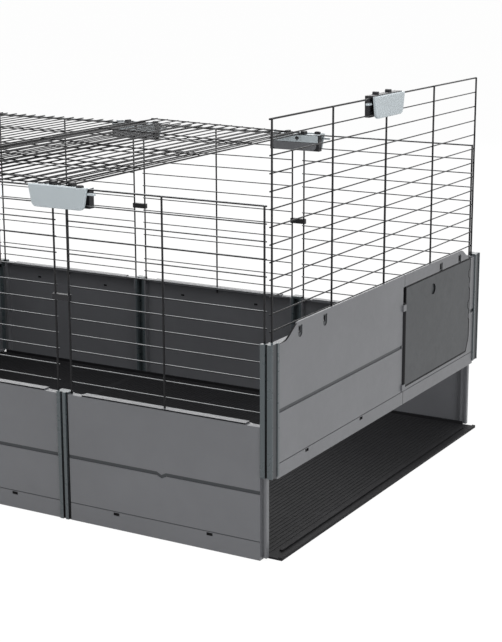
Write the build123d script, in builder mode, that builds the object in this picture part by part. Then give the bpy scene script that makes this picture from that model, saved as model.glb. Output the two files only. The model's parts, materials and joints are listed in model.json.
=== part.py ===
import os

from build123d import *

# Small animal cage in three modules: plastic lower walls, wire grids above them,
# end walls that slide up in channels, a door in each end wall and folding roof grids.
# Millimetres. X runs along the cage, Y from front to back, Z up.
# The origin is the centre of the footprint on the floor.

# Overall layout
modules = 3
module_pitch = 350.0      # from one module to the next
grid_gap = 24.0           # between the end wires of neighbouring grids
cage_depth = 722.0        # between the front and the back wire planes
wall_height = 500.0       # top wire above the floor
raise_height = 115.0      # how far the right end wall is lifted at rest
seat_gap = 0.3            # between a moving piece and what it rests on or runs in
fit_gap = 0.3             # between fixed pieces with round faces or snap fits

# Wire grids
wire_pitch = 24.0         # between horizontal wires
wire_rows = 13
upright_r = 1.5
rail_r = 1.4              # top wire
wire_r = 1.0
weld = 0.3                # depth that crossing wires melt into each other
wire_overhang = 2.5       # past the end uprights
foot_depth = 11.0         # of an upright in its socket

# Plastic wall panels
panel_height = 195.0
skin = 3.0
face_out = 8.0            # outer face beyond the wire plane
ledge_depth = 14.0        # top ledge of a side panel, at its middle
ledge_end_depth = 11.0    # and at its ends
ledge_shoulder = 16.0     # length of the ends where the ledge is narrow
ledge_run = 8.0           # from the narrow ends to the full depth
rim_depth = 13.7          # flanges round a panel, behind its face
rim = 3.0
crown = 2.0               # raised middle of a side panel's ledge
crown_back = 1.5          # behind the panel's face
groove_z = 97.0
groove_width = 5.5
groove_depth = 1.0
kink = 4.0                # dip of the groove at the middle of a panel
step_z = 27.0
step_width = 1.2
step_depth = 0.8
slot_x = 80.0             # bottom slots either side of a panel's middle
slot_length = 10.0
slot_height = 4.5
slot_depth = 2.2
slot_z = 21.5
pocket_x = 82.0           # small pockets inside a side panel, either side of its middle
pocket_length = 8.0
pocket_height = 4.0
pocket_below = 27.0       # from the panel's top to the foot of a pocket
pocket_depth = 1.0

# Posts between side panels
post_width = 20.0
post_out = 2.0            # beyond the panels' faces
post_depth = 16.0
post_wall = 4.0
post_groove = 4.0
post_groove_depth = 2.8
post_groove_x = -0.7      # middle of the groove from the middle of the post
post_notch = 3.3          # open notch down the post's right edge
post_top = 3.0            # above the panels

# Top clips
cover_width = 104.0
cover_height = 33.0
cover_foot = 91.0
cover_thick = 4.5
cover_rise = 3.0          # above the top wire
cover_round = 9.0
cover_chamfer = 1.2
body_width = 100.0        # black inner block behind a cover
body_inset = 2.0          # of its foot above the cover's foot
hook_ledge_depth = 11.0
hook_width = 7.0
hook_height = 5.8
hook_nose = 0.6           # of a hook past the middle of the rod
hook_round = 2.0
end_hook_depth = 8.0
end_snap_y = 22.0
end_snap_height = 4.0
bridge_width = 15.0
bridge_height = 18.0
end_bridge = 2.5          # thickness over the end wall's top wire
mid_clip_z = 335.0
mid_clip_height = 9.0
mid_clip_depth = 7.4
mid_clip_out = 1.0        # its middle beyond the wire plane
mid_clip_wall = 1.5
mid_clip_round = 1.0

# Roof grids
roof_rows = 13.5          # gaps of the long rods, the first one being half a gap
roof_rod_r = 1.2
roof_edge_r = 1.4
roof_rest = 0.1           # above the top wire
roof_overhang = 1.0       # past the wire planes
roof_end_gap = 8.0        # short of the end wall's grid
cross_inset = 20.0        # first cross rod behind the wire plane
fold_tilt = 1.5           # degrees, the folded roof grid leans on the far hooks

# End walls
end_grid_out = 6.8        # end grid beyond the side grids' end wires
end_uprights = 5
end_inset = 8.0           # first upright behind the front wire plane
end_face_out = 15.0       # outer face beyond the side grids' end wires
hump = 20.0               # raised middle of an end panel's top
hump_inset = 26.0
hump_run = 32.0
hump_round = 22.0
end_ledge_depth = 10.0
peg_slot_front = (65.0, 140.0)   # behind the panel's front edge
peg_slot_back = (148.0, 69.0)    # before its back edge
peg_slot_width = 5.0
peg_slot_height = 9.0
peg_slot_below = 17.0     # from the crest to the foot of a slot
peg_seat_r = 6.0          # round a slot
peg_seat_height = 11.0    # from the slot's foot to the top of the seat
peg_seat_depth = 0.8
end_slot_front = (87.0, 262.0)   # behind the panel's front edge
corner_wall = 3.0
corner_depth = 19.0
corner_foot = 4.5         # above the end panel's foot
corner_lip = 2.0          # of a corner channel over the panel's face
corner_lip_width = 4.5
corner_recess = 13.0      # shallow strip down the channel's outer face
corner_recess_depth = 1.2
corner_groove_x = 8.5     # groove down the channel's front face, from its inner edge
corner_groove = 3.5
rail_neck = 4.0
rail_head = 7.0
rail_head_length = 3.5
rail_length = 8.0
slide_gap = 0.5

# Door in an end wall
door_width = 266.0
door_back = 20.0          # from the door to the back corner channel
door_z0 = 31.0
door_below = 20.0         # from the panel's crest to the door
door_gap = 1.0
door_thick = 3.0
door_chamfer = 10.0       # at the lower back corner
door_chamfer_rise = 24.0
tab_r = 6.0               # half-round tabs of the panel in the door's back edge
tab_below = (47.0, 102.0)
barrel_r = 4.0
barrel_low = 6.0          # above the door's foot
barrel_high = 38.0        # below the door's top
knuckle = 10.0
knuckle_short = 1.0       # of the barrel's back
pin_r = 1.5
pin_clear = 0.08
pin_head_r = 2.6
pin_head = 2.5
grip_r = 9.0
grip_before = 158.0       # the door's back edge
grip_below = 24.0         # the door's top
grip_depth = 2.2
door_rim = 2.0

# Base trays
tray_floor = 3.0
tray_end_out = 24.0       # outer flange beyond the side grids' end wires
tray_rib_pitch = 7.5
tray_rib_width = 4.0
tray_rib = 0.5
tray_rib_inset = 6.0
ridge_out = 6.5           # ridge under an end wall, beyond the side grids' end wires
ridge_width = 5.0
ridge_height = 2.5
ridge_end = 25.0          # short of the tray's edge
lip_width = 5.5
lip_height = 1.5
rim_height = 8.0

# Places that follow from the sizes above
half_length = (modules * module_pitch - grid_gap) / 2
wire_y = cage_depth / 2
face_y = wire_y + face_out
post_y = face_y + post_out
grid_width = module_pitch - grid_gap
row_y = wire_y - upright_r - wire_r + weld
rail_y = wire_y - upright_r - rail_r + weld
roof_z = wall_height + rail_r + roof_edge_r + roof_rest
end_x = half_length + end_grid_out
end_row_x = end_x - upright_r - wire_r + weld
end_rail_x = end_x - upright_r - rail_r + weld
end_face_x = half_length + end_face_out
end_post_x = end_face_x + corner_lip
end_pitch = (cage_depth - 2 * end_inset) / (end_uprights - 1)
end_bottom = tray_floor + seat_gap
corner_y = post_y - corner_depth
corner_y_front = -wire_y + end_inset - upright_r - 2 * slide_gap
foot_z = panel_height - foot_depth
module_x = [(i - (modules - 1) / 2) * module_pitch for i in range(modules)]
joint_x = [(i - modules / 2) * module_pitch for i in range(1, modules)]
cover_top = wall_height + cover_rise
body_foot = cover_top - cover_height + body_inset
crest = panel_height + hump
door_y1 = corner_y - door_back
door_y0 = door_y1 - door_width
door_z1 = crest - door_below
barrel_z0 = door_z0 + barrel_low
barrel_z1 = door_z1 - barrel_high
hinge_y = door_y0 - door_gap - barrel_r
hinge_x = end_face_x - door_thick / 2
tray_y = face_y - rim_depth - fit_gap

os.makedirs("parts", exist_ok=True)


def save(part, name):
    """Label a finished piece and write its file."""
    part.label = name
    export_step(part, f"parts/{name}.step")


def block(x0, x1, y0, y1, z0, z1, mode=Mode.ADD):
    """A box between two corners, in the part being built."""
    with Locations(((x0 + x1) / 2, (y0 + y1) / 2, (z0 + z1) / 2)):
        Box(x1 - x0, y1 - y0, z1 - z0, mode=mode)


def rods(radius, length, places, turn):
    """Equal round rods, centred on their places."""
    with Locations(*[Location(place, turn) for place in places]):
        Cylinder(radius, length)


along_x = (0, 90, 0)
along_y = (90, 0, 0)
upright = (0, 0, 0)


# Side wall grids, modelled at the front and mirrored for the back
def side_grid(x):
    height = wall_height + rail_r - foot_z
    heights = [wall_height - wire_pitch * k for k in range(wire_rows)]
    length = grid_width + 2 * wire_overhang
    middle = foot_z + height / 2
    with BuildPart() as grid:
        rods(upright_r, height, [(x + s * grid_width / 2, -wire_y, middle) for s in (-1, 0, 1)], upright)
        rods(rail_r, length, [(x, -rail_y, wall_height)], along_x)
        rods(wire_r, length, [(x, -row_y, z) for z in heights[1:]], along_x)
    return grid.part


# Side wall panels: a skin with a rim behind it and a ledge that takes the grid's feet
def side_panel(x, left, right, rail_sides):
    middle = (left + right) / 2
    inner = face_y - rim_depth
    with BuildPart() as panel:
        block(left, right, -face_y, -face_y + skin, 0, panel_height)
        block(left, left + rim, -face_y, -inner, 0, panel_height)
        block(right - rim, right, -face_y, -inner, 0, panel_height)
        block(left, right, -face_y, -inner, 0, rim)
        # Top ledge, deeper between its shoulders
        with BuildSketch(Plane.XY.offset(panel_height - rim)):
            with BuildLine():
                Polyline(
                    (left, -face_y), (right, -face_y), (right, -face_y + ledge_end_depth),
                    (right - ledge_shoulder, -face_y + ledge_end_depth),
                    (right - ledge_shoulder - ledge_run, -face_y + ledge_depth),
                    (left + ledge_shoulder + ledge_run, -face_y + ledge_depth),
                    (left + ledge_shoulder, -face_y + ledge_end_depth),
                    (left, -face_y + ledge_end_depth), close=True)
            make_face()
        extrude(amount=rim)
        # Raised middle of the ledge, set back behind the face
        block(left + ledge_shoulder + ledge_run, right - ledge_shoulder - ledge_run,
              -face_y + crown_back, -face_y + ledge_depth, panel_height, panel_height + crown)
        # Embossed groove with a dip at the middle, and the step near the bottom
        with BuildSketch(Plane.XZ.offset(face_y - groove_depth)):
            with BuildLine():
                Polyline(
                    (left, groove_z), (middle - 2 * kink, groove_z), (middle, groove_z - kink),
                    (middle + 2 * kink, groove_z), (right, groove_z), (right, groove_z + groove_width),
                    (middle + 2 * kink, groove_z + groove_width),
                    (middle, groove_z + groove_width - kink),
                    (middle - 2 * kink, groove_z + groove_width), (left, groove_z + groove_width),
                    close=True)
            make_face()
        extrude(amount=groove_depth, mode=Mode.SUBTRACT)
        block(left, right, -face_y, -face_y + step_depth, step_z, step_z + step_width,
              mode=Mode.SUBTRACT)
        for s in (-1, 1):
            place = middle + s * slot_x
            block(place - slot_length / 2, place + slot_length / 2, -face_y, -face_y + slot_depth,
                  slot_z, slot_z + slot_height, mode=Mode.SUBTRACT)
            place = middle + s * pocket_x
            block(place - pocket_length / 2, place + pocket_length / 2,
                  -face_y + skin - pocket_depth, -face_y + skin,
                  panel_height - pocket_below, panel_height - pocket_below + pocket_height,
                  mode=Mode.SUBTRACT)
        # Sockets for the grid's feet
        with Locations(*[(x + s * grid_width / 2, -wire_y, panel_height) for s in (-1, 0, 1)]):
            Cylinder(upright_r + fit_gap, 2 * foot_depth, mode=Mode.SUBTRACT)
        # Rail that an end wall's corner channel slides on; the end upright stands on it
        for side in rail_sides:
            root = side * (half_length - rim)
            tip = root + side * rail_length
            shoulder = tip - side * rail_head_length
            block(*sorted((root, tip)), -wire_y - rail_neck / 2, -wire_y + rail_neck / 2, rim, foot_z)
            block(*sorted((shoulder, tip)), -wire_y - rail_head / 2, -wire_y + rail_head / 2, rim, foot_z)
    return panel.part


# Post between two side panels: a channel with a grooved outer face
def side_post(x):
    half = post_width / 2
    top = panel_height + post_top
    back = -post_y + post_depth
    with BuildPart() as post:
        block(x - half, x + half, -post_y, back, 0, top)
        front_edges = post.edges().filter_by(Axis.Z).group_by(Axis.Y)[0]
        fillet(front_edges, post_wall / 2)
        block(x - half + post_wall, x + half - post_wall, -post_y + post_wall, back,
              0, top - post_wall, mode=Mode.SUBTRACT)
        groove = x + post_groove_x
        for x0, x1 in ((groove - post_groove / 2, groove + post_groove / 2),
                       (x + half - post_notch, x + half)):
            block(x0, x1, -post_y, -post_y + post_groove_depth, 0, top, mode=Mode.SUBTRACT)
    return post.part


# Top clips: an outer cover, and an inner block whose hooks hold the roof grids' edge rods
def clip_cover(plane):
    """The cover lies on a plane whose normal points out of the cage."""
    top, bottom = cover_top, cover_top - cover_height
    with BuildPart() as cover:
        with BuildSketch(plane):
            with BuildLine():
                Polyline((-cover_width / 2, top), (cover_width / 2, top),
                         (cover_foot / 2, bottom), (-cover_foot / 2, bottom), close=True)
            make_face()
            fillet(vertices().group_by(Axis.Y)[0], cover_round)
        extrude(amount=cover_thick)
        outer = cover.faces().sort_by(Axis((0, 0, 0), plane.z_dir))[-1]
        chamfer(outer.edges(), cover_chamfer)
    return cover.part


def side_hooks(x):
    """Block under the edge rods, two hooks over them, and a bridge to the cover."""
    ledge_top = roof_z - roof_edge_r - seat_gap
    outer = -rail_y + rail_r + fit_gap
    inner = outer + hook_ledge_depth
    rod_x = grid_gap / 2
    with BuildPart() as hooks:
        block(x - body_width / 2, x + body_width / 2, outer, inner, body_foot, ledge_top)
        block(x - bridge_width / 2, x + bridge_width / 2, -wire_y - upright_r - fit_gap, outer,
              ledge_top - bridge_height, ledge_top)
        for s in (-1, 1):
            near = x + s * (rod_x + roof_edge_r + seat_gap)
            far = near + s * hook_width
            nose = x + s * (rod_x + hook_nose)
            block(*sorted((near, far)), outer, inner, ledge_top, ledge_top + hook_height)
            block(*sorted((nose, far)), outer, inner, roof_z + roof_edge_r + seat_gap,
                  ledge_top + hook_height)
        fillet(hooks.edges().filter_by(Axis.Y).group_by(Axis.Z)[-1], hook_round)
    return hooks.part


def end_hooks():
    """Block inside an end wall's top wire, with two snaps on it and a bridge over the wire."""
    outer = end_rail_x - rail_r - fit_gap
    inner = outer - end_hook_depth
    bridge_z = wall_height + rail_r + fit_gap
    top = bridge_z + end_bridge
    with BuildPart() as hooks:
        block(inner, outer, -body_width / 2, body_width / 2, body_foot, top)
        block(outer, end_x + upright_r + fit_gap, -body_width / 2, body_width / 2, bridge_z, top)
        for y in (-end_snap_y, end_snap_y):
            block(inner, outer, y - hook_width / 2, y + hook_width / 2, top, top + end_snap_height)
        fillet(hooks.edges().filter_by(Axis.X).group_by(Axis.Z)[-1], hook_round)
    return hooks.part


# Clip half way up that ties the end uprights of two neighbouring grids
def mid_clip(x):
    reach = grid_gap / 2 + upright_r + mid_clip_wall
    middle = -wire_y - mid_clip_out
    with BuildPart() as clip:
        block(x - reach, x + reach, middle - mid_clip_depth / 2, middle + mid_clip_depth / 2,
              mid_clip_z, mid_clip_z + mid_clip_height)
        fillet(clip.edges().filter_by(Axis.Z), mid_clip_round)
        with Locations(*[(x + s * grid_gap / 2, -wire_y, mid_clip_z) for s in (-1, 1)]):
            Cylinder(upright_r + fit_gap, 4 * mid_clip_height, mode=Mode.SUBTRACT)
    return clip.part


# Roof grids: long rods from front to back on cross rods.
# The gap beside the left edge rod is half a gap, so that a grid folded over lies between
# its neighbour's rods.
def roof_grid(left, right):
    pitch = (right - left) / roof_rows
    length = 2 * (wire_y + roof_overhang)
    cross_z = roof_z - 2 * roof_rod_r + weld
    inner = [(right - pitch * k, 0, roof_z) for k in range(1, int(roof_rows) + 1)]
    first = wire_y - cross_inset
    crosses = [-first, -first / 2, 0, first / 2, first]
    with BuildPart() as grid:
        rods(roof_edge_r, length, [(left, 0, roof_z), (right, 0, roof_z)], along_y)
        rods(roof_rod_r, length, inner, along_y)
        rods(roof_rod_r, right - left, [((left + right) / 2, y, cross_z) for y in crosses], along_x)
    return grid.part


# End walls are modelled at the right, down on the tray, then lifted or mirrored
def end_grid():
    height = wall_height + rail_r - foot_z
    length = cage_depth - 2 * end_inset + 2 * wire_overhang
    heights = [wall_height - wire_pitch * k for k in range(wire_rows)]
    places = [-wire_y + end_inset + end_pitch * k for k in range(end_uprights)]
    with BuildPart() as grid:
        rods(upright_r, height, [(end_x, y, foot_z + height / 2) for y in places], upright)
        rods(rail_r, length, [(end_rail_x, 0, wall_height)], along_y)
        rods(wire_r, length, [(end_row_x, 0, z) for z in heights[1:]], along_y)
    return grid.part


def door_outline(grow, front):
    """Outline of the door in the wall's plane, grown by a gap, from a front edge backwards."""
    Polyline((front, door_z0 - grow), (door_y1 - door_chamfer, door_z0 - grow),
             (door_y1 + grow, door_z0 + door_chamfer_rise), (door_y1 + grow, door_z1 + grow),
             (front, door_z1 + grow), close=True)


def tab_places():
    return [(door_y1 + door_gap, door_z1 - below) for below in tab_below]


def end_panel():
    inner = end_face_x - skin
    ledge_x = inner - end_ledge_depth
    edge = corner_y
    flange_z = tray_floor + ridge_height + slide_gap
    opening_front = hinge_y - barrel_r - door_gap
    with BuildPart() as panel:
        with BuildSketch(Plane.YZ.offset(inner)):
            with BuildLine():
                Polyline((-edge, end_bottom), (edge, end_bottom), (edge, panel_height),
                         (edge - hump_inset, panel_height),
                         (edge - hump_inset - hump_run, crest),
                         (-edge + hump_inset + hump_run, crest),
                         (-edge + hump_inset, panel_height), (-edge, panel_height), close=True)
            make_face()
            slopes = vertices().filter_by_position(Axis.X, -edge, edge, inclusive=(False, False))
            fillet(slopes, hump_round)
        extrude(amount=skin)
        # Ledge with the sockets for the grid's feet, and the rim round the panel
        block(ledge_x, inner, -edge, edge, panel_height - rim, panel_height)
        block(ledge_x, inner, -edge, edge, flange_z, flange_z + rim)
        for s in (-1, 1):
            block(inner - rim, inner, *sorted((s * edge, s * (edge - rim))), end_bottom, panel_height)
        with Locations(*[(end_x, -wire_y + end_inset + end_pitch * k, panel_height)
                         for k in range(end_uprights)]):
            Cylinder(upright_r + fit_gap, 2 * foot_depth, mode=Mode.SUBTRACT)
        # Door opening in its raised frame, a strip behind the hinge, tabs and knuckles
        block(inner - rim, inner, opening_front - rim, door_y1 + door_gap + rim,
              door_z0 - door_gap - rim, door_z1 + door_gap + rim)
        with BuildSketch(Plane.YZ.offset(inner - rim)):
            with BuildLine():
                door_outline(door_gap, opening_front)
            make_face()
        extrude(amount=rim + skin, mode=Mode.SUBTRACT)
        block(inner - 2 * rim, inner - rim, opening_front - rim, door_y0 + rim,
              door_z0 - door_gap - rim, door_z1 + door_gap + rim)
        with BuildSketch(Plane.YZ.offset(inner)):
            with Locations(*tab_places()):
                Circle(tab_r)
        extrude(amount=skin)
        for z0, z1 in ((barrel_z0 - seat_gap - knuckle, barrel_z0 - seat_gap),
                       (barrel_z1 + seat_gap, barrel_z1 + seat_gap + knuckle)):
            block(inner - rim, hinge_x + barrel_r, opening_front - rim,
                  hinge_y + barrel_r - knuckle_short, z0, z1)
        with Locations((hinge_x, hinge_y, (barrel_z0 + barrel_z1) / 2)):
            Cylinder(pin_r + pin_clear, 2 * (barrel_z1 - barrel_z0), mode=Mode.SUBTRACT)
        # Embossed groove on both sides of the door, step near the bottom, drain slots
        for y0, y1 in ((-edge, opening_front - rim), (door_y1 + door_gap + rim, edge)):
            block(end_face_x - groove_depth, end_face_x, y0, y1, groove_z, groove_z + groove_width,
                  mode=Mode.SUBTRACT)
        block(end_face_x - step_depth, end_face_x, -edge, edge, step_z - rim, step_z - rim + step_width,
              mode=Mode.SUBTRACT)
        for place in end_slot_front:
            middle = -edge + place
            block(inner, end_face_x, middle - slot_length / 2, middle + slot_length / 2,
                  slot_z - rim, slot_z - rim + slot_height, mode=Mode.SUBTRACT)
        # Peg slots, each in a shallow round-footed seat
        foot = crest - peg_slot_below
        for y in [-edge + place for place in peg_slot_front] + [edge - place for place in peg_slot_back]:
            with BuildSketch(Plane.YZ.offset(end_face_x - peg_seat_depth)):
                with Locations((y, foot + peg_seat_height / 2)):
                    Rectangle(2 * peg_seat_r, peg_seat_height)
                with Locations((y, foot)):
                    Circle(peg_seat_r)
            extrude(amount=peg_seat_depth, mode=Mode.SUBTRACT)
            block(inner, end_face_x, y - peg_slot_width / 2, y + peg_slot_width / 2,
                  foot, foot + peg_slot_height, mode=Mode.SUBTRACT)
    return panel.part


def corner_post():
    """Channel at the front corner that slides on the side panel's rail."""
    left = half_length - rim + fit_gap
    foot = end_bottom + corner_foot
    top = panel_height + post_top
    neck_half = rail_neck / 2 + slide_gap
    head_half = rail_head / 2 + slide_gap
    rail_end = half_length - rim + rail_length
    lip_y = -corner_y + corner_lip
    recess_y = lip_y - corner_lip_width
    with BuildPart() as post:
        block(left, end_post_x, -post_y, corner_y_front, foot, top)
        front_edges = post.edges().filter_by(Axis.Z).group_by(Axis.Y)[0]
        fillet(front_edges, post_wall / 2)
        block(end_face_x - 2 * corner_wall, end_post_x, corner_y_front, -corner_y, foot, top)
        block(end_face_x, end_post_x, -corner_y, lip_y, foot, top)
        block(left, rail_end + slide_gap, -wire_y - neck_half, -wire_y + neck_half,
              foot, top, mode=Mode.SUBTRACT)
        block(rail_end - rail_head_length - slide_gap, rail_end + slide_gap,
              -wire_y - head_half, -wire_y + head_half, foot, top, mode=Mode.SUBTRACT)
        # Room for the ends of the side grid's wires
        block(left, half_length + wire_overhang + slide_gap, -wire_y, corner_y_front,
              foot, top, mode=Mode.SUBTRACT)
        # Groove down the front face and shallow recess down the outer face
        block(left + corner_groove_x, left + corner_groove_x + corner_groove, -post_y,
              -post_y + post_groove_depth, foot, top, mode=Mode.SUBTRACT)
        block(end_post_x - corner_recess_depth, end_post_x, recess_y - corner_recess, recess_y,
              foot, top, mode=Mode.SUBTRACT)
    return post.part


def door():
    inner = end_face_x - door_thick
    with BuildPart() as leaf:
        with BuildSketch(Plane.YZ.offset(inner)):
            with BuildLine():
                door_outline(0, door_y0)
            make_face()
            with Locations(*tab_places()):
                Circle(tab_r + door_gap, mode=Mode.SUBTRACT)
        extrude(amount=door_thick)
        # Rims inside, finger grip, and the barrel on the hinge pin
        for z in (door_z0 + rim, door_z1 - 2 * rim):
            block(inner - door_rim, inner, door_y0 + rim, door_y1 - 2 * door_chamfer, z, z + rim)
        with Locations(Location((end_face_x, door_y1 - grip_before, door_z1 - grip_below), along_x)):
            Cylinder(grip_r, 2 * grip_depth, mode=Mode.SUBTRACT)
        block(inner, end_face_x, hinge_y, door_y0, barrel_z0, barrel_z1)
        with Locations((hinge_x, hinge_y, (barrel_z0 + barrel_z1) / 2)):
            Cylinder(barrel_r, barrel_z1 - barrel_z0)
            Cylinder(pin_r + pin_clear, barrel_z1 - barrel_z0, mode=Mode.SUBTRACT)
    return leaf.part


def hinge_pin():
    low = barrel_z0 - seat_gap - knuckle
    high = barrel_z1 + seat_gap + knuckle
    with BuildPart() as pin:
        with Locations((hinge_x, hinge_y, (low + high) / 2)):
            Cylinder(pin_r, high - low)
        with Locations((hinge_x, hinge_y, high + pin_head / 2)):
            Cylinder(pin_head_r, pin_head)
    return pin.part


# Base tray of one module: fine ribs and rims along the walls.
# An outer tray also has a low ridge and a lip, with the seat of an end wall between them.
def base_tray(index):
    left = module_x[index] - module_pitch / 2
    right = left + module_pitch
    outer_sides = [-1] * (index == 0) + [1] * (index == modules - 1)
    wall_left, wall_right = left, right
    rib_left, rib_right = left + tray_rib_inset, right - tray_rib_inset
    if -1 in outer_sides:
        left, wall_left = -half_length - tray_end_out, -half_length
        rib_left = -half_length - ridge_out + tray_rib_inset
    if 1 in outer_sides:
        right, wall_right = half_length + tray_end_out, half_length
        rib_right = half_length + ridge_out - tray_rib_inset
    count = int((rib_right - rib_left) // tray_rib_pitch)
    start = (rib_left + rib_right - (count - 1) * tray_rib_pitch) / 2
    rib_end = tray_y - rim - tray_rib_inset
    with BuildPart() as tray:
        block(left, right, -tray_y, tray_y, 0, tray_floor)
        for k in range(count):
            place = start + k * tray_rib_pitch
            block(place - tray_rib_width / 2, place + tray_rib_width / 2, -rib_end, rib_end,
                  tray_floor, tray_floor + tray_rib)
        for s in (-1, 1):
            block(wall_left, wall_right, *sorted((s * tray_y, s * (tray_y - rim))), tray_floor, rim_height)
        for side in outer_sides:
            ridge = half_length + ridge_out
            outer = half_length + tray_end_out
            block(*sorted((side * ridge, side * (ridge + ridge_width))), -tray_y + ridge_end,
                  tray_y - ridge_end, tray_floor, tray_floor + ridge_height)
            block(*sorted((side * outer, side * (outer - lip_width))), -tray_y, tray_y,
                  tray_floor, tray_floor + lip_height)
    return tray.part


# Build and save every piece
def both_sides(part, name):
    """Save a front piece, and its mirror image at the back."""
    save(part, f"front_{name}")
    save(mirror(part, about=Plane.XZ), f"back_{name}")


for index, x in enumerate(module_x):
    number = index + 1
    left = -half_length + rim if index == 0 else x - module_pitch / 2 + post_width / 2 + fit_gap
    right = half_length - rim if index == modules - 1 else x + module_pitch / 2 - post_width / 2 - fit_gap
    save(base_tray(index), f"base_tray_{number}")
    rail_sides = [-1] * (index == 0) + [1] * (index == modules - 1)
    both_sides(side_panel(x, left, right, rail_sides), f"panel_{number}")
    both_sides(side_grid(x), f"grid_{number}")

for index, x in enumerate(joint_x):
    number = index + 1
    cover_plane = Plane((x, -wire_y - upright_r - fit_gap, 0), x_dir=(1, 0, 0), z_dir=(0, -1, 0))
    both_sides(side_post(x), f"post_{number}")
    both_sides(mid_clip(x), f"mid_clip_{number}")
    both_sides(clip_cover(cover_plane), f"clip_cover_{number}")
    both_sides(side_hooks(x), f"roof_hooks_{number}")

# Roof grids: the right one lies folded back over the middle one
roof_left = roof_grid(-half_length + roof_end_gap, joint_x[0] - grid_gap / 2)
roof_middle = roof_grid(joint_x[0] + grid_gap / 2, joint_x[1] - grid_gap / 2)
roof_hinge = Axis((joint_x[1] + grid_gap / 2, 0, roof_z), (0, 1, 0))
roof_right = roof_grid(roof_hinge.position.X, half_length - roof_end_gap)
save(roof_left, "roof_grid_left")
save(roof_middle, "roof_grid_middle")
save(roof_right.rotate(roof_hinge, 180 + fold_tilt), "roof_grid_right")

# End walls: the right one is raised, the left one is down
end_cover_plane = Plane((end_x + upright_r + fit_gap, 0, 0), x_dir=(0, 1, 0), z_dir=(1, 0, 0))
end_pieces = {
    "panel": end_panel(),
    "grid": end_grid(),
    "front_corner": corner_post(),
    "back_corner": mirror(corner_post(), about=Plane.XZ),
    "clip_cover": clip_cover(end_cover_plane),
    "clip_hooks": end_hooks(),
    "door": door(),
    "hinge_pin": hinge_pin(),
}
for name, piece in end_pieces.items():
    save(piece.moved(Location((0, 0, raise_height))), f"right_end_{name}")
    save(mirror(piece, about=Plane.YZ), f"left_end_{name}")
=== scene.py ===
import json
import math

import bmesh
import bpy
from mathutils import Matrix, Vector


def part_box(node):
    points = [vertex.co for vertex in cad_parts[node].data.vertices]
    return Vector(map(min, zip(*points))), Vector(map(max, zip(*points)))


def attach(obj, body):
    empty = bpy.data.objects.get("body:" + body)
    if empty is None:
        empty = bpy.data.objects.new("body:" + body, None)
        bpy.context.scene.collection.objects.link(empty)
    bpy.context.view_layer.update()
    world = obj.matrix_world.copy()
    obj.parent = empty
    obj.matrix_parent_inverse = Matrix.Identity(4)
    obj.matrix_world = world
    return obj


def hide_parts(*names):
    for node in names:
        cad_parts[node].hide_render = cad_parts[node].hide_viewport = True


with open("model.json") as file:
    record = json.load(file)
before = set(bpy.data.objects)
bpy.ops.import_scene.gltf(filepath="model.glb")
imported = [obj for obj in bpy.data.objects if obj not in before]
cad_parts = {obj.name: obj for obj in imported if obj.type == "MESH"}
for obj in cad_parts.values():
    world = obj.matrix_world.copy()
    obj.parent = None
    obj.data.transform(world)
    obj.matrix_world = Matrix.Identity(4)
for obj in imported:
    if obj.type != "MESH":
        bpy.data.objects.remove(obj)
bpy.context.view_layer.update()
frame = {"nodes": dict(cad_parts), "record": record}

record = frame["record"]
behaviour = record["behaviour"]
body_of = {node: body for body, nodes in behaviour["bodies"].items() for node in nodes}
slot_of = {row["node"]: row["material_slot"] for row in record["subparts"]}

# Metres, radians and watts, unless a comment says otherwise

# Wire grids as packed
WIRE_PITCH = 0.024
WIRE_ROWS = 13
UPRIGHT_R = 0.0015
RAIL_R = 0.0014
WIRE_R = 0.001
WELD = 0.0003              # how far welded rods sink into each other
OVERHANG = 0.0025          # of a row past the outer uprights
WALL_BEAD_R = 0.00135
WALL_BEAD_BACK = 0.0002
SIDE_UPRIGHTS = 3
END_UPRIGHTS = 5
ROOF_ROD_R = 0.0012
ROOF_EDGE_R = 0.0014
ROOF_DRAWN = 0.85          # drawn over packed radius of a roof rod
ROOF_BEAD_R = 0.0013
ROOF_ROWS = 13.5
CROSS_INSET = 0.020        # of the outer cross rods
ROOF_OVERHANG = 0.001
FOLD_TILT = math.radians(1.5)      # by which the folded roof grid rises towards its free edge
ROD_SIDES = 14
ROD_PROFILE = ((0.0, 0.35), (0.12, 0.72), (0.45, 0.95), (0.9, 1.0))    # of its ends, in radii

# Side panels and posts as packed
FACE_Y = 0.369
PANEL_TOP = 0.195
GROOVE_DEPTH = 0.001
STEP_DEPTH = 0.0008
SLOT_DEPTH = 0.0022
SLOT_Z = (0.0205, 0.0262)
POCKET_DEPTH = 0.002
POCKET_Z = 0.16            # the pockets lie above it
CROWN_DEPTH = 0.0015
POST_FACE_Y = 0.371
POST_DEPTH = 0.0028
POST_LIP_Y = 0.3695

# End walls and doors as packed, the right one lowered
RAISE = 0.115
END_FACE_X = 0.528
SKIN = 0.0031
CREST = 0.215
OPENING_Y = (0.05, 0.3345)
OPENING_Z = (0.029, 0.1965)
PEG_SEAT_Z = (PANEL_TOP - 0.006, CREST - 0.002)
DRAIN_Z = (0.018, 0.0235)
BEHIND_HINGE = 0.006       # depth of the panel's recess there
CORNER_GROOVE_X = END_FACE_X + 0.0008
DOOR_Y = (0.066, 0.332)
DOOR_Z = (0.031, 0.195)
DOOR_CORNER = (0.010, 0.024)       # cut off below, at the back
GRIP = (0.174, 0.171)
GRIP_R = 0.010
HINGE = (0.5265, 0.061)    # X and Y of the pin
BARREL = (0.006, 0.126)    # above the door's foot
NOTCH_Z = (CREST - 0.047, CREST - 0.102)
BLOCK_TOP = 0.5012         # of the black blocks behind the clip covers

# Which faces are painted: a normal's share along an axis when the face looks that way,
# and when it looks aside
FACING = 0.9
ASIDE = 0.3
SLACK = 0.0001             # when a measure counts as met
BARREL_CLEAR = 0.0002      # between the door's edge and the faces of its barrel
GRIP_FACING = -0.2         # grip faces that look further towards +Y than this get no painted shade
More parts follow.
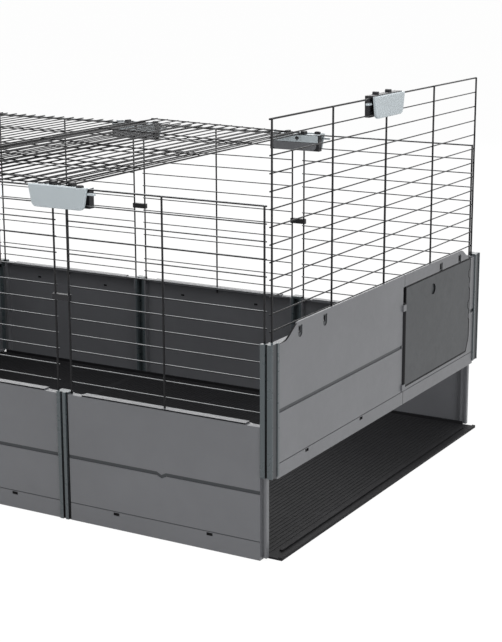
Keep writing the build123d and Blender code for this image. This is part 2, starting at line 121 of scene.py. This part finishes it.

# Moulded edges
EDGE_WIDTH = {
    "tray_plastic": 0.0006, "panel_plastic": 0.0008, "door_plastic": 0.0014,
    "post_plastic": 0.0012, "cover_plastic": 0.0008, "clip_plastic": 0.0005,
}
EDGE_SEGMENTS = 2
EDGE_ANGLE = math.radians(40)
EDGE_SHADE_AND_HIGHLIGHT = {          # painted shade round the doors, painted highlight on the channels' edges
    "door_plastic": "tray_plastic", "post_plastic": "cover_plastic",
}

# Small moulded pieces, and black pieces of painted shade round the doors. Each end is a side and
# its sign along X
ENDS = (("right", 1), ("left", -1))
PLATE_RINGS = ((0.0, 0.0), (0.55, 0.0), (0.88, 0.35), (1.0, 1.0))    # of depth and of bulge
CORNER_STEPS = 6
END_CLIP_TOP = 0.007       # below the highest hook
# Black strip of painted shade behind each door's hinge
SHADE_STRIP_HALF = 0.00115
SHADE_STRIP_CORNER = 0.0009
SHADE_STRIP_DEPTH = 0.0024
SHADE_STRIP_BULGE = 0.0002
SHADE_STRIP_PAST_DOOR = 0.0006
SHADE_STRIP_X = END_FACE_X - 0.0058
SHADE_STRIP_Y = DOOR_Y[0] + 0.0016
STUD_X = 0.0385            # from the clip's middle
STUD_Y = 0.3605
STUD_HALF = 0.0055
STUD_Z = (0.4995, 0.5062)
STUD_CORNERS = (0.0003, 0.003)
STUD_DEPTH = 0.006
STUD_BULGE = 0.0012
RELEASE_X = 0.0575         # from the clip's middle
RELEASE_HALF = 0.0065
RELEASE_Z = (0.4925, 0.4957)
RELEASE_CORNER = 0.0012
RELEASE_DEPTH = 0.0045
RELEASE_BULGE = 0.0008
END_RELEASE_DROP = (0.0175, 0.0143)    # below the highest hook
END_RELEASE_Y = 0.0055     # before the block
# Black bar of painted shade over each door's hinge
HINGE_SHADE_R = 0.00435
HINGE_SHADE_BULGE = 0.0003
# Black line of painted shade round each door's face
DOOR_SHADE_R = 0.0011
DOOR_SHADE_X = END_FACE_X - 0.0007
NOTCH_R = 0.0082
NOTCH_STEPS = 8

# Camera, fitted to the photo
CAMERA_AT = (1.5313, -2.1594, 0.8467)
CAMERA_YAW = math.radians(30.05)
CAMERA_PITCH = math.radians(-13.49)
CAMERA_ROLL = math.radians(-0.16)
FOCAL_PX = 1576.4
CENTRE_PX = (250.35, 315.7)
PHOTO = (502, 642)
SENSOR = 36.0              # millimetres
CAMERA_SEES = 50

# Stage: white to the camera, softer in what it sheds on the cage
WHITE = (1, 1, 1, 1)
FLOOR_SIZE = 60
FLOOR_Z = -0.0005
FLOOR_COLOUR = (0.86, 0.86, 0.86, 1)
FLOOR_SEEN = 1.04
FLOOR_SEEN_SHARE = 0.92
WORLD_SHED = 0.38
WORLD_SEEN = 1.0
LIGHTS = {                 # place, target, size and power
    "top": ((0.2, -0.3, 2.6), (0, 0, 0.2), (2.6, 2.2), 58),
    "right": ((2.7, -1.3, 0.75), (0.5, -0.2, 0.25), (1.0, 1.2), 24),
    "front": ((-0.6, -3.0, 1.5), (0, 0, 0.25), (2.4, 1.4), 8),
    "back": ((-1.7, 3.2, 1.75), (-0.1, 0, 0.3), (4.2, 1.4), 34),
}


# Materials
def nodes_of(name):
    material = bpy.data.materials.new(name)
    material.use_nodes = True
    tree = material.node_tree
    return material, tree.nodes, tree.links, tree.nodes["Principled BSDF"]


def set_inputs(node, **values):
    """Inputs by name, with _ for the spaces."""
    for name, value in values.items():
        node.inputs[name.replace("_", " ")].default_value = value


def noise(nodes, links, **values):
    """Noise in the object's own coordinates."""
    place = nodes.new("ShaderNodeTexCoord")
    texture = nodes.new("ShaderNodeTexNoise")
    set_inputs(texture, **values)
    links.new(place.outputs["Object"], texture.inputs["Vector"])
    return texture.outputs["Fac"]


def spread(nodes, links, value, **values):
    mapped = nodes.new("ShaderNodeMapRange")
    set_inputs(mapped, **values)
    links.new(value, mapped.inputs["Value"])
    return mapped.outputs["Result"]


def ramp(nodes, links, value, low, high):
    """Colour between two stops, each a place from 0 to 1 and a colour."""
    tint = nodes.new("ShaderNodeValToRGB")
    for element, (position, colour) in zip(tint.color_ramp.elements, (low, high)):
        element.position = position
        element.color = (*colour, 1)
    links.new(value, tint.inputs["Fac"])
    return tint.outputs["Color"]


def relief(nodes, links, shader, height, strength, distance):
    bump = nodes.new("ShaderNodeBump")
    set_inputs(bump, Strength=strength, Distance=distance)
    links.new(height, bump.inputs["Height"])
    links.new(bump.outputs["Normal"], shader.inputs["Normal"])


def plastic(name, colour, roughness, grain=900.0, bump=0.12, mottle=0.10, specular=0.5):
    """Moulded plastic: fine spark-eroded grain, faint flow clouds and uneven gloss."""
    material, nodes, links, shader = nodes_of(name)
    clouds = noise(nodes, links, Scale=9.0, Detail=5.0, Roughness=0.6)
    grains = noise(nodes, links, Scale=grain, Detail=3.0)
    scuffs = noise(nodes, links, Scale=60.0, Detail=8.0, Distortion=1.2)
    dark, light = [[c * (1 + change) for c in colour] for change in (-mottle, mottle)]
    links.new(ramp(nodes, links, clouds, (0.3, dark), (0.72, light)), shader.inputs["Base Color"])
    gloss = spread(nodes, links, scuffs, To_Min=roughness - 0.07, To_Max=roughness + 0.09)
    links.new(gloss, shader.inputs["Roughness"])
    relief(nodes, links, shader, grains, bump, 0.0004)
    set_inputs(shader, Specular_IOR_Level=specular)
    return material


def coated_wire(name, painted_highlight_colour):
    """Black powder coat: slight orange peel, and a painted highlight that makes the upward faces
    of level wires paler.
    """
    material, nodes, links, shader = nodes_of(name)
    peel = noise(nodes, links, Scale=700.0, Detail=2.0)
    wear = noise(nodes, links, Scale=35.0, Detail=4.0)
    coat = ramp(nodes, links, wear, (0.0, (0.003, 0.003, 0.004)), (1.0, (0.007, 0.007, 0.008)))
    # Painted highlight: the colour turns paler where the surface faces up
    normal = nodes.new("ShaderNodeNewGeometry")
    parts = nodes.new("ShaderNodeSeparateXYZ")
    links.new(normal.outputs["Normal"], parts.inputs["Vector"])
    painted_highlight_share = spread(nodes, links, parts.outputs["Z"], From_Min=0.45, From_Max=0.80)
    blend = nodes.new("ShaderNodeMix")
    blend.data_type = "RGBA"
    sockets = {socket.identifier: socket for socket in (*blend.inputs, *blend.outputs)}
    sockets["B_Color"].default_value = (*painted_highlight_colour, 1)
    links.new(painted_highlight_share, sockets["Factor_Float"])
    links.new(coat, sockets["A_Color"])
    links.new(sockets["Result_Color"], shader.inputs["Base Color"])
    gloss = spread(nodes, links, wear, To_Min=0.24, To_Max=0.38)
    links.new(gloss, shader.inputs["Roughness"])
    relief(nodes, links, shader, peel, 0.15, 0.0002)
    set_inputs(shader, Specular_IOR_Level=0.22)
    return material


materials = {
    "tray_plastic": plastic("tray_plastic", (0.008, 0.008, 0.009), 0.66, grain=420, bump=0.5,
                            mottle=0.2, specular=0.16),
    "panel_plastic": plastic("panel_plastic", (0.121, 0.124, 0.133), 0.34, mottle=0.07),
    "door_plastic": plastic("door_plastic", (0.026, 0.029, 0.033), 0.40, mottle=0.07,
                            specular=0.40),
    "post_plastic": plastic("post_plastic", (0.060, 0.074, 0.080), 0.28, bump=0.04, mottle=0.04),
    "cover_plastic": plastic("cover_plastic", (0.44, 0.49, 0.515), 0.34, bump=0.06, mottle=0.04),
    "clip_plastic": plastic("clip_plastic", (0.010, 0.010, 0.012), 0.40, bump=0.08,
                            specular=0.3),
    "wire": coated_wire("wire", (0.02, 0.02, 0.021)),
}
# Front and back wall rows get a strong painted highlight on their upper faces
wall_wire_painted_highlight = coated_wire("wall_wire_painted_highlight", (0.38, 0.39, 0.40))


def finish_piece(obj, body, slot):
    """Put a new piece on its body with the material of its slot."""
    obj.data.materials.clear()
    obj.data.materials.append(materials[slot])
    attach(obj, body)


def new_object(name, bm):
    mesh = bpy.data.meshes.new(name)
    bm.to_mesh(mesh)
    bm.free()
    obj = bpy.data.objects.new(name, mesh)
    bpy.context.scene.collection.objects.link(obj)
    return obj


# Wires: round rods with softened ends, and a weld bead where two rods cross
def rod(bm, start, end, radius):
    start, end = Vector(start), Vector(end)
    along = (end - start).normalized()
    across = along.orthogonal().normalized()
    other = along.cross(across)
    stations = [(start + along * radius * d, radius * r) for d, r in ROD_PROFILE]
    stations += [(end - along * radius * d, radius * r) for d, r in reversed(ROD_PROFILE)]
    turns = [2 * math.pi * k / ROD_SIDES for k in range(ROD_SIDES)]
    rings = [[bm.verts.new(centre + (across * math.cos(turn) + other * math.sin(turn)) * r)
              for turn in turns] for centre, r in stations]
    for a, b in zip(rings, rings[1:]):
        for k in range(ROD_SIDES):
            n = (k + 1) % ROD_SIDES
            bm.faces.new((a[k], a[n], b[n], b[k])).smooth = True
    bm.faces.new(list(reversed(rings[0])))
    bm.faces.new(rings[-1])


def weld_bead(bm, place, radius):
    """A small bead where the coat has run round a weld."""
    matrix = Matrix.Translation(place)
    made = bmesh.ops.create_icosphere(bm, subdivisions=1, radius=radius, matrix=matrix)
    for face in {f for v in made["verts"] for f in v.link_faces}:
        face.smooth = True


def wall_grid(node, run, out, uprights):
    """Grid of a wall. run is the axis that its rails follow, out the way that it faces."""
    low, high = [Vector(c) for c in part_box(node)]
    axis = 0 if run == "x" else 1
    face = 1 - axis
    outer = high[face] if out > 0 else low[face]
    upright_at = outer - out * UPRIGHT_R
    row_at = upright_at - out * (UPRIGHT_R + WIRE_R - WELD)
    rail_at = upright_at - out * (UPRIGHT_R + RAIL_R - WELD)
    first, last = low[axis] + OVERHANG, high[axis] - OVERHANG
    top = high.z - RAIL_R

    def point(along, depth, z):
        return (along, depth, z) if axis == 0 else (depth, along, z)

    bm = bmesh.new()
    stations = [first + (last - first) * k / (uprights - 1) for k in range(uprights)]
    for s in stations:
        rod(bm, point(s, upright_at, low.z), point(s, upright_at, high.z), UPRIGHT_R)
    for k in range(WIRE_ROWS):
        z = top - WIRE_PITCH * k
        at, r = (rail_at, RAIL_R) if k == 0 else (row_at, WIRE_R)
        rod(bm, point(low[axis], at, z), point(high[axis], at, z), r)
        for s in stations:
            weld = (upright_at + at) / 2 - out * WALL_BEAD_BACK
            weld_bead(bm, point(s, weld, z), WALL_BEAD_R)
    obj = new_object("wires_" + node, bm)
    finish_piece(obj, body_of[node], "wire")
    # Rows along X get the wire with the strong painted highlight
    if run == "x":
        obj.data.materials[0] = wall_wire_painted_highlight
    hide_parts(node)


def roof_wires(node, left, right, folded=None):
    """Roof grid lying flat between two edge rods, or turned about the hinge at folded."""
    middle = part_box("roof_grid_middle")
    y0, y1 = middle[0][1], middle[1][1]
    z = middle[1][2] - ROOF_EDGE_R
    pitch = (right - left) / ROOF_ROWS
    cross_z = z - 2 * ROOF_ROD_R + WELD
    first = y1 - ROOF_OVERHANG - CROSS_INSET
    places = [right - pitch * k for k in range(1, int(ROOF_ROWS) + 1)]
    bm = bmesh.new()
    for x in (left, right):
        rod(bm, (x, y0, z), (x, y1, z), ROOF_EDGE_R)
    for x in places:
        rod(bm, (x, y0, z), (x, y1, z), ROOF_ROD_R * ROOF_DRAWN)
    for y in (-first, -first / 2, 0, first / 2, first):
        rod(bm, (left, y, cross_z), (right, y, cross_z), ROOF_ROD_R * ROOF_DRAWN)
        for x in places + [left, right]:
            weld_bead(bm, (x, y, (z + cross_z) / 2), ROOF_BEAD_R)
    if folded is not None:
        hinge = Vector((folded, 0, z))
        turn = Matrix.Translation(hinge) @ Matrix.Rotation(math.pi + FOLD_TILT, 4, "Y")
        bmesh.ops.transform(bm, matrix=turn @ Matrix.Translation(-hinge), verts=bm.verts)
    obj = new_object("wires_" + node, bm)
    finish_piece(obj, body_of[node], "wire")
    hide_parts(node)


for number in (1, 2, 3):
    wall_grid(f"front_grid_{number}", "x", -1, SIDE_UPRIGHTS)
    wall_grid(f"back_grid_{number}", "x", 1, SIDE_UPRIGHTS)
wall_grid("right_end_grid", "y", 1, END_UPRIGHTS)
wall_grid("left_end_grid", "y", -1, END_UPRIGHTS)

roof_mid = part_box("roof_grid_middle")
edge_left, edge_right = roof_mid[0][0] + ROOF_EDGE_R, roof_mid[1][0] - ROOF_EDGE_R
joints = {joint["name"]: joint for joint in behaviour["joints"]}
hinge_right = joints["roof_right_hinge"]["pos_m"][0]
hinge_left = joints["roof_left_hinge"]["pos_m"][0]
roof_left_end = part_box("roof_grid_left")[0][0] + ROOF_EDGE_R
roof_wires("roof_grid_middle", edge_left, edge_right)
roof_wires("roof_grid_left", roof_left_end, hinge_left)
roof_wires("roof_grid_right", hinge_right, -roof_left_end, folded=hinge_right)

# The CAD nodes get their materials and moulded edges
for name, obj in frame["nodes"].items():
    slot = slot_of[name]
    obj.data.materials.clear()
    obj.data.materials.append(materials[slot])
    if slot in EDGE_WIDTH:
        bevel = obj.modifiers.new("moulded_edges", "BEVEL")
        bevel.width = EDGE_WIDTH[slot]
        bevel.segments = EDGE_SEGMENTS
        bevel.limit_method = "ANGLE"
        bevel.angle_limit = EDGE_ANGLE
        bevel.harden_normals = True


def material_index(obj, slot):
    """Index of a slot's material on a node, added if the node lacks it."""
    material = materials[slot]
    if material.name not in obj.data.materials:
        obj.data.materials.append(material)
    return obj.data.materials.find(material.name)


# Faces that lie in grooves, slots and gaps get painted shade; other faces get another colour
def paint(node, slot, test):
    """test gets a face's centre and normal as at the right end or the front, walls lowered."""
    obj = frame["nodes"][node]
    side = -1 if node.startswith("left") else 1
    depth = -1 if node.startswith("back") or node.endswith("back_corner") else 1
    lift = RAISE if node.startswith("right_end") else 0.0
    index = material_index(obj, slot)
    for face in obj.data.polygons:
        c, n = face.center, face.normal
        place = Vector((side * c.x, depth * c.y, c.z - lift))
        facing = Vector((side * n.x, depth * n.y, n.z))
        if test(place, facing):
            face.material_index = index


def near(value, target):
    return abs(value - target) < SLACK


def between(value, limits):
    return limits[0] < value < limits[1]


# Painted shade in the side panels' slots, pockets and under the crown
def side_panel_shade(c, n):
    slot_floor = near(c.y, -FACE_Y + SLOT_DEPTH) and n.y < -FACING
    in_slot = between(c.y, (-FACE_Y, -FACE_Y + SLOT_DEPTH)) and between(c.z, SLOT_Z)
    pocket = near(c.y, -FACE_Y + POCKET_DEPTH) and n.y > FACING and c.z > POCKET_Z
    under_crown = near(c.y, -FACE_Y + CROWN_DEPTH) and n.y < -FACING and c.z > PANEL_TOP
    return slot_floor or (in_slot and abs(n.y) < ASIDE) or pocket or under_crown


# Painted shade on the floors of the side panels' groove and step
def side_panel_groove_shade(c, n):
    floor = near(c.y, -FACE_Y + GROOVE_DEPTH) or near(c.y, -FACE_Y + STEP_DEPTH)
    return n.y < -FACING and floor


# Painted shade in the channels of the posts
def post_shade(c, n):
    floor = near(c.y, -POST_FACE_Y + POST_DEPTH) and n.y < -FACING
    wall = between(c.y, (-POST_FACE_Y, -POST_LIP_Y)) and abs(n.x) > FACING
    return floor or wall


def hook_block_top(c, n):
    return n.z > FACING and near(c.z, BLOCK_TOP)


# Painted shade on the edges of the end panels' openings, peg seats and drains, and behind the
# hinge
def end_panel_shade(c, n):
    edge = between(c.x, (END_FACE_X - SKIN, END_FACE_X)) and abs(n.x) < ASIDE
    opening = between(c.y, OPENING_Y) and between(c.z, OPENING_Z)
    seat_or_drain = between(c.z, PEG_SEAT_Z) or between(c.z, DRAIN_Z)
    behind = near(c.x, END_FACE_X - BEHIND_HINGE) and n.x > FACING
    return (edge and (opening or seat_or_drain)) or behind


# Painted shade on the floors of the end panels' groove and step
def end_panel_groove_shade(c, n):
    floor = near(c.x, END_FACE_X - GROOVE_DEPTH) or near(c.x, END_FACE_X - STEP_DEPTH)
    return n.x > FACING and floor


# Painted shade in the corner groove
def corner_groove_shade(c, n):
    return n.x > FACING and near(c.x, CORNER_GROOVE_X)


# Painted shade on the door's barrel, its edges and the grip faces that look towards -Y
def door_shade(c, n):
    barrel = c.y < DOOR_Y[0] - BARREL_CLEAR
    edge = abs(n.x) < ASIDE and c.x > END_FACE_X - SKIN
    in_grip = math.hypot(c.y - GRIP[0], c.z - GRIP[1]) < GRIP_R
    return barrel or (edge and not (in_grip and n.y > GRIP_FACING))


# Grooves and steps get painted shade in door_plastic; slots, channels and gaps get it in
# tray_plastic
for place in ("front", "back"):
    for number in (1, 2, 3):
        paint(f"{place}_panel_{number}", "door_plastic", side_panel_groove_shade)
        paint(f"{place}_panel_{number}", "tray_plastic", side_panel_shade)
    for number in (1, 2):
        paint(f"{place}_post_{number}", "tray_plastic", post_shade)
        paint(f"{place}_roof_hooks_{number}", "cover_plastic", hook_block_top)
for place in ("right", "left"):
    paint(f"{place}_end_panel", "door_plastic", end_panel_groove_shade)
    paint(f"{place}_end_panel", "tray_plastic", end_panel_shade)
    paint(f"{place}_end_door", "tray_plastic", door_shade)
    for corner in ("front", "back"):
        paint(f"{place}_end_{corner}_corner", "tray_plastic", post_shade)
        paint(f"{place}_end_{corner}_corner", "door_plastic", corner_groove_shade)

# Moulded edges in another colour: painted shade round the doors, painted highlight on the posts'
# edges
for name, obj in frame["nodes"].items():
    if slot_of[name] in EDGE_SHADE_AND_HIGHLIGHT:
        index = material_index(obj, EDGE_SHADE_AND_HIGHLIGHT[slot_of[name]])
        obj.modifiers["moulded_edges"].material = index


# Small moulded pieces, and pieces of painted shade
def plate(bm, outline, depth, bulge):
    """A plate in the X-Z plane whose far face, towards +Y, is drawn in a little all round."""
    count = len(outline)
    centre_x = sum(p[0] for p in outline) / count
    centre_z = sum(p[1] for p in outline) / count
    rings = []
    for far, drawn_in in PLATE_RINGS:
        y, shrink = depth * far, bulge * drawn_in
        ring = []
        for x, z in outline:
            dx, dz = centre_x - x, centre_z - z
            away = math.hypot(dx, dz)
            ring.append(bm.verts.new((x + dx / away * shrink, y, z + dz / away * shrink)))
        rings.append(ring)
    for a, b in zip(rings, rings[1:]):
        for k in range(count):
            bm.faces.new((a[k], a[(k + 1) % count], b[(k + 1) % count], b[k]))
    bm.faces.new(list(reversed(rings[0])))
    bm.faces.new(rings[-1])


def arc(cx, cz, rx, rz, degrees):
    turns = [math.radians(d) for d in degrees]
    return [(cx + rx * math.cos(turn), cz + rz * math.sin(turn)) for turn in turns]


def rounded(x0, x1, z0, z1, low, high=None):
    """Outline of a box with rounded corners: low for the two lower ones, high for the upper."""
    high = low if high is None else high
    corners = ((x1 - low, z0 + low, low, -90), (x1 - high, z1 - high, high, 0),
               (x0 + high, z1 - high, high, 90), (x0 + low, z0 + low, low, 180))
    points = []
    for cx, cz, radius, start in corners:
        degrees = [start + 90 * k / CORNER_STEPS for k in range(CORNER_STEPS + 1)]
        points += arc(cx, cz, radius, radius, degrees)
    return points


def spade(cx, cz, size):
    shape = ((0, 1.0), (0.25, 0.72), (0.62, 0.38), (0.95, 0.02), (0.8, -0.3), (0.42, -0.34),
             (0.2, -0.2), (0.2, -0.62), (0.5, -0.9), (-0.5, -0.9), (-0.2, -0.62), (-0.2, -0.2),
             (-0.42, -0.34), (-0.8, -0.3), (-0.95, 0.02), (-0.62, 0.38), (-0.25, 0.72))
    return [(cx + size * x, cz + size * z) for x, z in reversed(shape)]


def small_piece(name, node, slot, outline, depth, bulge, place):
    """A plate made at the origin, moved by place, on the body of node."""
    bm = bmesh.new()
    plate(bm, outline, depth, bulge)
    bmesh.ops.transform(bm, matrix=place, verts=bm.verts)
    bmesh.ops.recalc_face_normals(bm, faces=bm.faces)
    finish_piece(new_object(name, bm), body_of[node], slot)


def turned(x, y, z, angle, axis="Z"):
    return Matrix.Translation((x, y, z)) @ Matrix.Rotation(angle, 4, axis)


# On a clip's inner face: grey shell, pale lever, spade hook and thumb recess, each with its
# slot, outline about the block's top, depth, bulge and stand-off
CLIP_PIECES = (
    ("shell", "panel_plastic", rounded(-0.045, 0.045, -0.029, -0.0145, 0.009, 0.001),
     0.0017, 0.0008, 0.0),
    ("lever", "cover_plastic", rounded(-0.048, 0.048, -0.0138, -0.0012, 0.0015),
     0.0014, 0.0006, 0.0),
    ("hook", "clip_plastic", spade(-0.006, -0.0068, 0.0045), 0.0006, 0.0002, 0.0013),
    ("thumb", "cover_plastic", arc(0.022, -0.0072, 0.012, 0.0034, range(0, 360, 15)),
     0.0007, 0.0012, 0.0013),
)


def clip_inside(node, place):
    for label, slot, outline, depth, bulge, stand in CLIP_PIECES:
        small_piece(f"{label}_{node}", node, slot, outline, depth, bulge,
                    place @ Matrix.Translation((0, stand, 0)))


for number in (1, 2):
    for side, turn in (("front", 0.0), ("back", math.pi)):
        node = f"{side}_roof_hooks_{number}"
        low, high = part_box(node)
        y = high[1] if side == "front" else low[1]
        clip_inside(node, turned((low[0] + high[0]) / 2, y, BLOCK_TOP, turn))
for side, turn in (("right", math.pi / 2), ("left", -math.pi / 2)):
    node = f"{side}_end_clip_hooks"
    low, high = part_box(node)
    x = low[0] if side == "right" else high[0]
    clip_inside(node, turned(x, 0.0, high[2] - END_CLIP_TOP, turn))

# A black strip of painted shade behind each door's hinge, which also stops light coming through
# the gap
for side, sign in ENDS:
    low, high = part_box(f"{side}_end_door")
    outline = rounded(-SHADE_STRIP_HALF, SHADE_STRIP_HALF, low[2] - SHADE_STRIP_PAST_DOOR, high[2] + SHADE_STRIP_PAST_DOOR,
                      SHADE_STRIP_CORNER)
    small_piece(f"hinge_shade_strip_{side}", f"{side}_end_panel", "tray_plastic", outline,
                SHADE_STRIP_DEPTH, SHADE_STRIP_BULGE, turned(sign * SHADE_STRIP_X, SHADE_STRIP_Y, 0, -sign * math.pi / 2))

# A thumb stud and a pale release tab on the clips beside the roof grids' hinges
stud = rounded(-STUD_HALF, STUD_HALF, *STUD_Z, *STUD_CORNERS)
release = rounded(-RELEASE_HALF, RELEASE_HALF, *RELEASE_Z, RELEASE_CORNER)
for number in (1, 2):
    for side, sign, turn in (("front", -1, math.pi), ("back", 1, 0.0)):
        node = f"{side}_roof_hooks_{number}"
        low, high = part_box(node)
        x = (low[0] + high[0]) / 2
        small_piece(f"stud_{node}", node, "clip_plastic", stud, STUD_DEPTH, STUD_BULGE,
                    turned(x + STUD_X, sign * STUD_Y, 0, turn))
        small_piece(f"release_{node}", node, "cover_plastic", release,
                    RELEASE_DEPTH, RELEASE_BULGE,
                    turned(x + RELEASE_X, sign * STUD_Y, 0, turn))
for side, sign in ENDS:
    node = f"{side}_end_clip_hooks"
    low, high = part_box(node)
    foot, top = [high[2] - drop for drop in END_RELEASE_DROP]
    outline = rounded(-RELEASE_HALF, RELEASE_HALF, foot, top, RELEASE_CORNER)
    small_piece(f"release_{node}", node, "cover_plastic", outline, RELEASE_DEPTH, RELEASE_BULGE,
                turned((low[0] + high[0]) / 2, low[1] - END_RELEASE_Y, 0, -sign * math.pi / 2))

# A black bar of painted shade over each door's barrel and its web, round about the hinge
HINGE_SHADE_OUTLINE = arc(0, 0, HINGE_SHADE_R, HINGE_SHADE_R, range(-95, 46, 10)) + [
    (0.0021, 0.0058), (0.0012, 0.0060), (0.0012, 0.0026), (0.0029, 0.0), (0.0004, -0.0028)]
for side, sign in ENDS:
    low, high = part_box(f"{side}_end_door")
    outline = [(sign * x, -y) for x, y in HINGE_SHADE_OUTLINE]
    small_piece(f"hinge_shade_bar_{side}", f"{side}_end_door", "tray_plastic", outline,
                BARREL[1] - BARREL[0], HINGE_SHADE_BULGE,
                turned(sign * HINGE[0], HINGE[1], low[2] + BARREL[0], math.pi / 2, "X"))

# A black line of painted shade round each door's face, following its notches and its lower back
# corner
for side, sign in ENDS:
    low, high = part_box(f"{side}_end_door")
    lift = low[2] - DOOR_Z[0]
    y0, y1 = DOOR_Y[0] + DOOR_SHADE_R, DOOR_Y[1] - DOOR_SHADE_R
    z0, z1 = DOOR_Z[0] + DOOR_SHADE_R, DOOR_Z[1] - DOOR_SHADE_R
    path = [(y0, z0), (y0, z1), (y1, z1)]
    for notch_z in NOTCH_Z:
        notch = arc(DOOR_Y[1], notch_z, NOTCH_R, NOTCH_R,
                    [90 + 180 * k / NOTCH_STEPS for k in range(NOTCH_STEPS + 1)])
        path += [(min(y1, y), z) for y, z in notch]
    path += [(y1, z0 + DOOR_CORNER[1]), (y1 - DOOR_CORNER[0], z0), (y0, z0)]
    bm = bmesh.new()
    for (ya, za), (yb, zb) in zip(path, path[1:]):
        rod(bm, (sign * DOOR_SHADE_X, ya, za + lift), (sign * DOOR_SHADE_X, yb, zb + lift), DOOR_SHADE_R)
    finish_piece(new_object(f"door_shade_line_{side}", bm), body_of[f"{side}_end_door"], "tray_plastic")


# Stage: floor, soft lights, pale world and the camera
def seen_directly(nodes, links):
    """1 for what the camera sees, straight or by gloss or through something clear, else 0."""
    path = nodes.new("ShaderNodeLightPath")
    value = path.outputs["Is Camera Ray"]
    for kind in ("Is Glossy Ray", "Is Transmission Ray"):
        larger = nodes.new("ShaderNodeMath")
        larger.operation = "MAXIMUM"
        links.new(value, larger.inputs[0])
        links.new(path.outputs[kind], larger.inputs[1])
        value = larger.outputs["Value"]
    return value


def make_floor():
    bpy.ops.mesh.primitive_plane_add(size=FLOOR_SIZE, location=(0, 0, FLOOR_Z))
    floor = bpy.context.object
    floor.name = "floor"
    material, nodes, links, shader = nodes_of("floor")
    set_inputs(shader, Base_Color=FLOOR_COLOUR, Roughness=0.9, Specular_IOR_Level=0.1)
    white = nodes.new("ShaderNodeEmission")
    set_inputs(white, Color=WHITE, Strength=FLOOR_SEEN)
    white_share = spread(nodes, links, seen_directly(nodes, links), To_Max=FLOOR_SEEN_SHARE)
    mix = nodes.new("ShaderNodeMixShader")
    links.new(white_share, mix.inputs["Fac"])
    links.new(shader.outputs["BSDF"], mix.inputs[1])
    links.new(white.outputs["Emission"], mix.inputs[2])
    links.new(mix.outputs["Shader"], nodes["Material Output"].inputs["Surface"])
    floor.data.materials.append(material)


def make_world():
    world = bpy.data.worlds.new("studio")
    bpy.context.scene.world = world
    world.use_nodes = True
    nodes, links = world.node_tree.nodes, world.node_tree.links
    background = nodes["Background"]
    set_inputs(background, Color=WHITE)
    strength = spread(nodes, links, seen_directly(nodes, links), To_Min=WORLD_SHED,
                      To_Max=WORLD_SEEN)
    links.new(strength, background.inputs["Strength"])


def area_light(name, place, target, size, power):
    data = bpy.data.lights.new(name, "AREA")
    data.shape = "RECTANGLE"
    data.size, data.size_y = size
    data.energy = power
    obj = bpy.data.objects.new(name, data)
    obj.location = place
    aim = Vector(target) - Vector(place)
    obj.rotation_euler = aim.to_track_quat("-Z", "Y").to_euler()
    bpy.context.scene.collection.objects.link(obj)


def make_camera():
    level = math.cos(CAMERA_PITCH)
    forward = Vector((-math.sin(CAMERA_YAW) * level, math.cos(CAMERA_YAW) * level,
                      math.sin(CAMERA_PITCH)))
    right = forward.cross(Vector((0, 0, 1))).normalized()
    up = right.cross(forward)
    turned_right = right * math.cos(CAMERA_ROLL) + up * math.sin(CAMERA_ROLL)
    turned_up = up * math.cos(CAMERA_ROLL) - right * math.sin(CAMERA_ROLL)
    data = bpy.data.cameras.new("camera")
    data.sensor_width = SENSOR
    data.lens = FOCAL_PX * SENSOR / max(PHOTO)
    data.shift_x = (PHOTO[0] / 2 - CENTRE_PX[0]) / max(PHOTO)
    data.shift_y = (CENTRE_PX[1] - PHOTO[1] / 2) / max(PHOTO)
    data.clip_end = CAMERA_SEES
    camera = bpy.data.objects.new("camera", data)
    basis = Matrix((turned_right, turned_up, -forward)).transposed()
    camera.matrix_world = Matrix.Translation(CAMERA_AT) @ basis.to_4x4()
    bpy.context.scene.collection.objects.link(camera)
    bpy.context.scene.camera = camera


make_floor()
make_world()
for name, light in LIGHTS.items():
    area_light(name, *light)
make_camera()
bpy.context.scene.view_settings.view_transform = "Standard"
